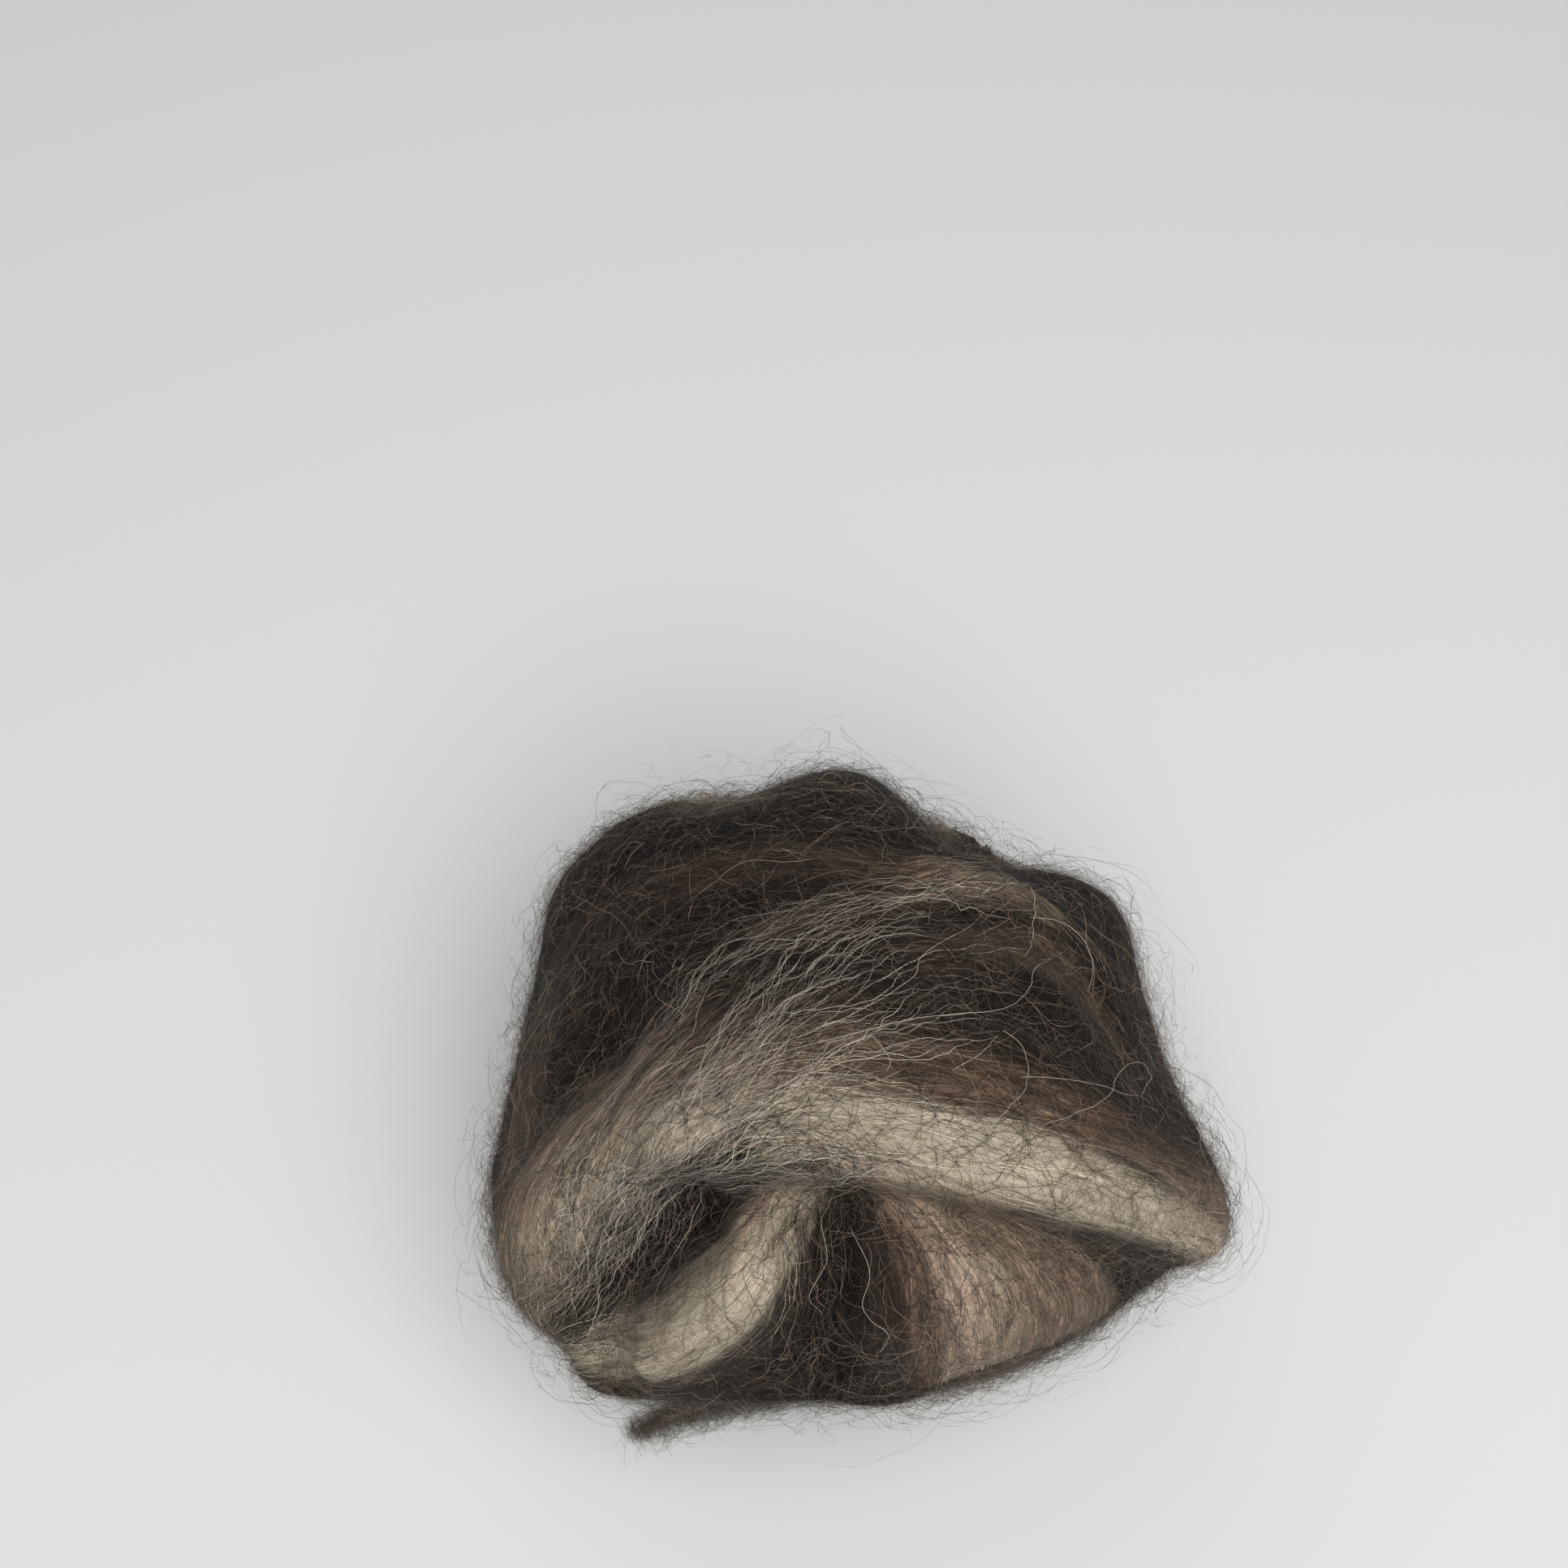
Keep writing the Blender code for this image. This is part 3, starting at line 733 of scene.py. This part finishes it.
def add_strays(skin):
    """Single long fibres over the skin, each a thin tube along its own route."""
    faces = [list(face.vertices) for face in skin.data.polygons]
    surface = BVHTree.FromPolygons(mesh_vectors(skin.data, "co").tolist(), faces)
    lines = bpy.data.curves.new("stray lines", "CURVE")
    lines.dimensions = "3D"
    lines.bevel_depth = STRAY_THICKNESS_MM * MM
    lines.bevel_resolution = 0
    lines.use_fill_caps = True
    for height_mm, route in STRAYS:
        ways = unit(smooth_line([direction(*place) for place in route], STRAY_STEPS))
        spline = lines.splines.new("POLY")
        spline.points.add(len(ways) - 1)
        heights = height_mm * MM * np.sin(np.linspace(*STRAY_RISE, len(ways)) * math.pi)
        for point, way, height in zip(spline.points, ways, heights):
            far = Vector(MIDDLE + way * MEAN_RADIUS * 2)
            found = surface.ray_cast(far, -Vector(way))[0]
            point.co = (*(found + Vector(way) * height), 1.0)
            point.radius = 1.0
        spline.points[0].radius = spline.points[-1].radius = STRAY_TIP
    drawn = new_object("stray_lines", lines)
    mesh = baked_mesh(drawn)
    bpy.data.objects.remove(drawn)
    store(mesh, "shade", "FLOAT", np.full(len(mesh.vertices), STRAY_SHADE))
    mesh.materials.clear()
    mesh.materials.append(MATERIALS["pale"])
    mesh.shade_smooth()
    return new_object("long_strays", mesh)


# NODE TREES


class Nodes:
    """Makes and links the nodes of one tree. Each call gives the output that the next one takes."""

    def __init__(self, tree):
        self.tree = tree

    @staticmethod
    def shown(sockets, key):
        """The socket in use with that name, or with that number among those in use."""
        used = [one for one in sockets if one.enabled]
        if isinstance(key, int):
            return used[key]
        return next(one for one in used if one.name == key)

    def feed(self, socket, value):
        if isinstance(value, bpy.types.NodeSocket):
            self.tree.links.new(value, socket)
        else:
            socket.default_value = value

    def node(self, kind, inputs=None, **settings):
        made = self.tree.nodes.new(kind)
        for name, value in settings.items():
            setattr(made, name, value)
        for key, value in (inputs or {}).items():
            self.feed(self.shown(made.inputs, key), value)
        return made

    def __call__(self, kind, inputs=None, output=0, **settings):
        return self.shown(self.node(kind, inputs, **settings).outputs, output)

    def math(self, operation, *values):
        return self("ShaderNodeMath", dict(enumerate(values)), operation=operation)

    def plus(self, one, other):
        return self.math("ADD", one, other)

    def minus(self, one, other):
        return self.math("SUBTRACT", one, other)

    def times(self, product, *others):
        for other in others:
            product = self.math("MULTIPLY", product, other)
        return product

    def over(self, one, other):
        return self.math("DIVIDE", one, other)

    def vector(self, operation, *values, output=0):
        return self("ShaderNodeVectorMath", dict(enumerate(values)), output, operation=operation)

    def scaled(self, vector, amount):
        return self.vector("SCALE", vector, amount)

    def dot(self, one, other):
        return self.vector("DOT_PRODUCT", one, other, output="Value")

    def noise(self, spot, detail, output="Fac", **settings):
        return self("ShaderNodeTexNoise", {"Vector": spot, "Detail": detail, **settings}, output)

    def attribute(self, name, kind):
        return self("GeometryNodeInputNamedAttribute", {"Name": name}, data_type=kind)

    def keep(self, geometry, name, kind, value, domain="POINT"):
        inputs = {"Geometry": geometry, "Name": name, "Value": value}
        return self("GeometryNodeStoreNamedAttribute", inputs, data_type=kind, domain=domain)

    def chance(self, name, identity, kind="FLOAT"):
        seed, low, high = CHANCES[name]
        inputs = {"Min": low, "Max": high, "ID": identity, "Seed": seed}
        return self("FunctionNodeRandomValue", inputs, data_type=kind)


# What chance gives each fibre: the seed, the least and the most.
CHANCES = {
    "turn": (41, -1.0, 1.0),
    "lean": (43, 0.3, 1.0),
    "arch": (47, 0.15, 1.0),
    "lift": (53, 0.0, 1.6),
    "crimp length": (59, 0.7, 1.5),
    "phase": (61, 0.0, 6.28),
    "crimp": (67, 0.4, 1.5),
    "shade": (71, 0.0, 1.0),
    "way round": (73, -1.0, 1.0),
    "thickness": (79, 0.6, 1.3),
    "facing": (83, (-1.0, -1.0, -1.0), (1.0, 1.0, 1.0)),
}
# Noise swings by about a quarter of its range, so it is taken four times to reach the full one. Fibres lie
# this far apart in the noises of their wander and their straying.
NOISE_REACH = 4.0
WANDER_APART = 0.371
STRAY_APART = 0.613
STRAYS_PER_M = 55.0
# The part of its cell that a fibre takes in the map for baking, and the cell's margin.
CELL_SHARE = 0.8
CELL_MARGIN = 0.1


def sampled(make, skin, value, position, kind="FLOAT_VECTOR"):
    """The value on the skin at the point nearest to a position."""
    inputs = {"Mesh": skin, "Value": value, "Sample Position": position}
    return make("GeometryNodeSampleNearestSurface", inputs, data_type=kind)


def on_skin(make, skin, position, flow_name):
    """The flow, the normal and the surface point of the skin nearest to a position."""
    flow = sampled(make, skin, make.attribute(flow_name, "FLOAT_VECTOR"), position)
    normal = sampled(make, skin, make("GeometryNodeInputNormal"), position)
    surface = sampled(make, skin, make("GeometryNodeInputPosition"), position)
    return flow, make.vector("NORMALIZE", normal), surface


def rooted(make, skin, given):
    """Points on the skin, a root for each fibre, with its number, shade and first way."""
    density = make.times(make.attribute(given["growth"], "FLOAT"), given["density"])
    inputs = {"Mesh": skin, "Density": density, "Seed": given["seed"]}
    roots = make("GeometryNodeDistributePointsOnFaces", inputs, "Points")
    position = make("GeometryNodeInputPosition")
    for name, kind in {"wool": "FLOAT_COLOR", "streaky": "FLOAT"}.items():
        roots = make.keep(roots, name, kind, sampled(make, skin, make.attribute(name, kind), position, kind))
    index = make("GeometryNodeInputIndex")
    roots = make.keep(roots, "fibre", "INT", index)
    roots = make.keep(roots, "shade", "FLOAT", make.chance("shade", index))
    flow, _, _ = on_skin(make, skin, position, given["flow"])
    way_round = make.math("SIGN", make.chance("way round", index))
    return make.keep(roots, "way", "FLOAT_VECTOR", make.scaled(flow, way_round))


def walked(make, skin, points, given, fibre):
    """Moves each point its own number of steps along the wool, and keeps the way that it went."""
    zone_in = make.node("GeometryNodeRepeatInput")
    zone_out = make.node("GeometryNodeRepeatOutput")
    zone_in.pair_with_output(zone_out)
    make.feed(make.shown(zone_in.inputs, "Iterations"), given["steps"])
    make.feed(make.shown(zone_in.inputs, "Geometry"), points)
    turned = make.shown(zone_in.outputs, "Iteration")
    geometry = make.shown(zone_in.outputs, "Geometry")
    position = make("GeometryNodeInputPosition")
    flow, normal, surface = on_skin(make, skin, position, given["flow"])
    agrees = make.dot(flow, make.attribute("way", "FLOAT_VECTOR"))
    along = make.scaled(flow, make.math("SIGN", make.plus(agrees, 1e-6)))
    apart = make("ShaderNodeCombineXYZ", {"X": make.times(fibre, WANDER_APART)})
    spot = make.vector("ADD", make.scaled(position, given["wander_rate"]), apart)
    sway = make.minus(make.noise(spot, 1.0, Scale=1.0), 0.5)
    sway = make.times(sway, make.times(given["wander"], NOISE_REACH))
    angle = make.plus(make.times(make.chance("turn", fibre), given["turn"]), sway)
    turn = make("FunctionNodeAxisAngleToRotation", {"Axis": normal, "Angle": angle})
    ahead = make("FunctionNodeRotateVector", {"Vector": along, "Rotation": turn})
    off_skin = make.scaled(normal, make.dot(ahead, normal))
    ahead = make.vector("NORMALIZE", make.vector("SUBTRACT", ahead, off_skin))
    steps = {"A": make.attribute("step", "INT"), "B": turned}
    moves = make("FunctionNodeCompare", steps, data_type="INT", operation="GREATER_THAN")
    there = make.vector("ADD", surface, make.scaled(ahead, given["step"]))
    geometry = make.keep(geometry, "step_way", "FLOAT_VECTOR", ahead)
    geometry = make.keep(geometry, "way", "FLOAT_VECTOR", along)
    inputs = {"Geometry": geometry, "Selection": moves, "Position": there}
    moved = make("GeometryNodeSetPosition", inputs)
    make.feed(make.shown(zone_out.inputs, "Geometry"), moved)
    return make.shown(zone_out.outputs, "Geometry")


def raised(make, skin, points, given, fibre, step):
    """Lifts each fibre off the skin and gives it its crimp."""
    share = make.over(step, given["steps"])
    position = make("GeometryNodeInputPosition")
    _, normal, surface = on_skin(make, skin, position, given["flow"])
    way = make.vector("NORMALIZE", make.attribute("step_way", "FLOAT_VECTOR"))
    side = make.vector("CROSS_PRODUCT", normal, way)
    hump = make.times(share, make.minus(1.0, share), 4.0)
    lean = make.times(given["free_end"], make.chance("lean", fibre))
    free = make.times(make.math("POWER", share, 1.3), lean)
    form = make.plus(make.times(hump, make.minus(1.0, lean)), free)
    arch = make.times(form, given["arch"], make.chance("arch", fibre))
    lift = make.times(given["lift"], make.chance("lift", fibre))
    lift = make.minus(make.plus(lift, arch), given["thickness"])
    length = make.times(given["crimp_length"], make.chance("crimp length", fibre))
    waves = make.over(make.times(step, given["step"], 2 * math.pi), length)
    phase = make.plus(waves, make.chance("phase", fibre))
    crimp = make.times(given["crimp"], make.chance("crimp", fibre))
    sine = make.times(make.math("SINE", phase), crimp)
    cosine = make.times(make.math("COSINE", phase), crimp)
    height = make.plus(lift, make.times(make.math("ABSOLUTE", cosine), 0.5))
    offset = make.vector("ADD", make.scaled(side, sine), make.scaled(normal, height))
    offset = make.vector("ADD", offset, make.scaled(way, make.times(cosine, given["loop"])))
    apart = make("ShaderNodeCombineXYZ", {"Z": make.times(fibre, STRAY_APART)})
    spot = make.vector("ADD", make.scaled(surface, STRAYS_PER_M), apart)
    stray = make.vector("SUBTRACT", make.noise(spot, 1.0, "Color", Scale=1.0), (0.5, 0.5, 0.5))
    reach = make.times(given["stray"], NOISE_REACH, share)
    offset = make.vector("ADD", offset, make.scaled(stray, reach))
    axes = make.node("ShaderNodeSeparateXYZ", {"Vector": make.vector("ADD", surface, offset)}).outputs
    height = make.math("MAXIMUM", axes["Z"], make.plus(FIBRE_LOWEST, given["thickness"]))
    place = make("ShaderNodeCombineXYZ", {"X": axes["X"], "Y": axes["Y"], "Z": height})
    points = make.keep(points, "out", "FLOAT_VECTOR", normal)
    return make("GeometryNodeSetPosition", {"Geometry": points, "Position": place})


def ribbons(make, curves, given, fibre, share):
    """A flat ribbon along each curve, thinner at its ends, with the share of its width kept as "rim"."""
    to_end = make.math("MINIMUM", share, make.minus(1.0, share))
    taper = make.math("MINIMUM", 1.0, make.math("MULTIPLY_ADD", to_end, 4.0, 0.3))
    width = make.times(taper, given["thickness"], make.chance("thickness", fibre))
    curves = make.keep(curves, "run", "FLOAT", share)
    facing = {
        "Switch": given["tumbled"],
        "False": make.attribute("out", "FLOAT_VECTOR"),
        "True": make.chance("facing", fibre, "FLOAT_VECTOR"),
    }
    facing = make("GeometryNodeSwitch", facing, input_type="VECTOR")
    curves = make("GeometryNodeSetCurveNormal", {"Curve": curves, "Normal": facing}, mode="FREE")
    section = make("GeometryNodeCurvePrimitiveLine", {"Start": (0.0, 1.0, 0.0), "End": (0.0, -1.0, 0.0)})
    section = make.keep(section, "rim", "FLOAT", make("GeometryNodeInputIndex"))
    return make("GeometryNodeCurveToMesh", {"Curve": curves, "Profile Curve": section, "Scale": width})


def with_bake_map(make, fibres, roots, fibre):
    """Gives each fibre a cell of its own in the map that materials are baked to."""
    count = {"Geometry": roots}
    count = make("GeometryNodeAttributeDomainSize", count, "Point Count", component="POINTCLOUD")
    rows = make.math("CEIL", make.math("SQRT", count))
    column = make.math("MODULO", fibre, rows)
    row = make.math("FLOOR", make.over(fibre, rows))
    spot = {}
    for axis, cell, name in (("X", column, "run"), ("Y", row, "rim")):
        inside = make.math("MULTIPLY_ADD", make.attribute(name, "FLOAT"), CELL_SHARE, CELL_MARGIN)
        spot[axis] = make.over(make.plus(cell, inside), rows)
    return make.keep(fibres, "OFBake", "FLOAT2", make("ShaderNodeCombineXYZ", spot), domain="CORNER")


def fibre_tree():
    """Grows fibres on a skin: roots on its faces, a walk along the wool, a lift and a crimp, then ribbons."""
    tree = bpy.data.node_groups.new("fibres along the wool", "GeometryNodeTree")
    tree.interface.new_socket("Geometry", in_out="INPUT", socket_type="NodeSocketGeometry")
    tree.interface.new_socket("Geometry", in_out="OUTPUT", socket_type="NodeSocketGeometry")
    for name, kind, _, _ in FIBRE_FIELDS:
        tree.interface.new_socket(name, in_out="INPUT", socket_type="NodeSocket" + kind)
    make = Nodes(tree)
    given = {one.name: one for one in make.node("NodeGroupInput").outputs}
    skin = given["Geometry"]
    roots = rooted(make, skin, given)
    amount = {"Geometry": roots, "Amount": make.plus(given["steps"], 1.0)}
    copies = make.node("GeometryNodeDuplicateElements", amount, domain="POINT").outputs
    points = make.keep(copies["Geometry"], "step", "INT", copies["Duplicate Index"])
    fibre = make.attribute("fibre", "INT")
    step = make.attribute("step", "INT")
    points = walked(make, skin, points, given, fibre)
    points = raised(make, skin, points, given, fibre, step)
    order = {"Points": points, "Curve Group ID": fibre, "Weight": step}
    curves = make("GeometryNodePointsToCurves", order)
    fibres = ribbons(make, curves, given, fibre, make.over(step, given["steps"]))
    fibres = with_bake_map(make, fibres, roots, fibre)
    fibres = make("GeometryNodeRealizeInstances", {"Geometry": fibres})
    fibres = make("GeometryNodeSetMaterial", {"Geometry": fibres, "Material": given["material"]})
    make.feed(make.node("NodeGroupOutput").inputs["Geometry"], fibres)
    return tree


def grow(tree, skin, kind):
    """One piece of fibres of a kind, grown on a skin, as a plain mesh."""
    values = kind._asdict() | {"material": MATERIALS[kind.material]}
    for name, _, unit_size, _ in FIBRE_FIELDS:
        if unit_size:
            values[name] *= unit_size
    field = new_object("fibre_field", skin.data.copy())
    grower = field.modifiers.new("fibres", "NODES")
    grower.node_group = tree
    for item in tree.interface.items_tree:
        if item.item_type == "SOCKET" and item.in_out == "INPUT" and item.name in values:
            grower[item.identifier] = values[item.name]
    mesh = baked_mesh(field)
    old = field.data
    bpy.data.objects.remove(field)
    bpy.data.meshes.remove(old)
    mesh.name = kind.name
    return new_object(kind.name, mesh)


# MATERIALS


def wool_shader(name, roughness, sheen):
    """A new material of wool, its node maker and its shader."""
    looks = {"Roughness": roughness, "Sheen Weight": sheen, **WOOL_LOOKS}
    material, shader = plain_shader(name, looks)
    return material, Nodes(material.node_tree), shader


def stretched_noise(make, spot, along, across, detail):
    """Noise drawn out along the strands: how often it changes per 100 mm along and across them."""
    stretch = make.vector("MULTIPLY", spot, (along, across, 1.0))
    return make.noise(stretch, detail, Scale=1.0, Roughness=0.6)


def remapped(make, value, low, high, new_low, new_high):
    inputs = {"Value": value, "From Min": low, "From Max": high, "To Min": new_low, "To Max": new_high}
    return make("ShaderNodeMapRange", inputs)


def kept_on(make, name, output="Fac"):
    """What the mesh keeps for the material under that name."""
    return make("ShaderNodeAttribute", attribute_name=name, output=output)


def brightened(make, colour, amount, strength):
    """The colour times one plus the amount's distance from one, taken at a strength."""
    change = make.times(make.minus(amount, 1.0), strength)
    return make.scaled(colour, make.plus(change, 1.0))


def skin_material():
    """Carded wool seen from near: fine strands along the lie of the wool, lighter and darker."""
    material, make, shader = wool_shader("carded wool", 0.95, 0.02)
    spot = make("ShaderNodeUVMap", uv_map="strands")
    place = make("ShaderNodeTexCoord", output="Object")
    often, bend_size = STRAND_BENDS
    bend = make.vector("SUBTRACT", make.noise(place, 2.0, "Color", Scale=often), (0.5, 0.5, 0.5))
    spot = make.vector("ADD", spot, make.scaled(bend, bend_size))
    strands, light = {}, 1.0
    for name, (pattern, levels) in SKIN_STRANDS.items():
        strands[name] = stretched_noise(make, spot, *pattern)
        light = make.times(light, remapped(make, strands[name], *levels))
    wool = kept_on(make, "wool", "Color")
    colour = brightened(make, wool, light, kept_on(make, "streaky"))
    warmer = make.vector("MULTIPLY", colour, WARMTH)
    warm = remapped(make, strands["middle"], *WARMED)
    colour = make("ShaderNodeMix", {"Factor": warm, "A": colour, "B": warmer}, data_type="RGBA")
    make.feed(shader.inputs["Base Color"], colour)
    height = make.plus(make.times(strands["fine"], 0.5), strands["middle"])
    bump = make("ShaderNodeBump", {"Height": height, **STRAND_BUMPS})
    make.feed(shader.inputs["Normal"], bump)
    return material


def wool_colour(make):
    """The wool's own colour, as streaky as the wool is."""
    return kept_on(make, "wool", "Color"), kept_on(make, "streaky")


def crossing_colour(make):
    """Dark on pale wool, pale on dark wool."""
    brightness = make("ShaderNodeRGBToBW", {"Color": kept_on(make, "wool", "Color")})
    pale = remapped(make, brightness, *PALE_WOOL_FROM, 0.0, 1.0)
    colour = {"Factor": pale, "A": CROSSING_DARK_WOOL, "B": CROSSING_PALE_WOOL}
    return make("ShaderNodeMix", colour, data_type="RGBA"), 1.0


def fibre_material(name, colour):
    """A colour that each fibre makes lighter or darker by its own share, and a little along it."""
    roughness, sheen, darkest, lightest, rarity = FIBRE_LOOKS[name]
    material, make, shader = wool_shader(name, roughness, sheen)
    if callable(colour):
        base, strength = colour(make)
    else:
        base, strength = make("ShaderNodeRGB"), 1.0
        base.node.outputs[0].default_value = colour
    shade = make.math("POWER", kept_on(make, "shade"), rarity)
    patch = make.noise(make("ShaderNodeTexCoord", output="Object"), 1.0, Scale=PATCHES_PER_M)
    own = remapped(make, shade, 0.0, 1.0, darkest, lightest)
    light = make.times(own, remapped(make, patch, 0.3, 0.7, 0.85, 1.15))
    make.feed(shader.inputs["Base Color"], brightened(make, base, light, strength))
    return material


# MAKING THE BALL

add_camera()
MATERIALS = {
    "skin": skin_material(),
    "laid": fibre_material("laid fibre", wool_colour),
    "contrast": fibre_material("crossing fibre", crossing_colour),
    "pale": fibre_material("pale fibre", PALE_FIBRE),
    "fuzz": fibre_material("fuzz fibre", FUZZ_FIBRE),
}
loose_end, loose_end_path = add_loose_end()
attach(loose_end, BODY)
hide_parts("loose_end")
skin = add_skin()
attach(skin, BODY)
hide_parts("roving_ball")

strays = add_strays(skin)
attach(strays, BODY)
tree = fibre_tree()
for kind in FIBRE_KINDS:
    piece = grow(tree, skin, kind)
    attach(piece, BODY)
piece = grow(tree, loose_end, LOCK_FIBRES)
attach(piece, BODY)

add_floor()
add_lights()
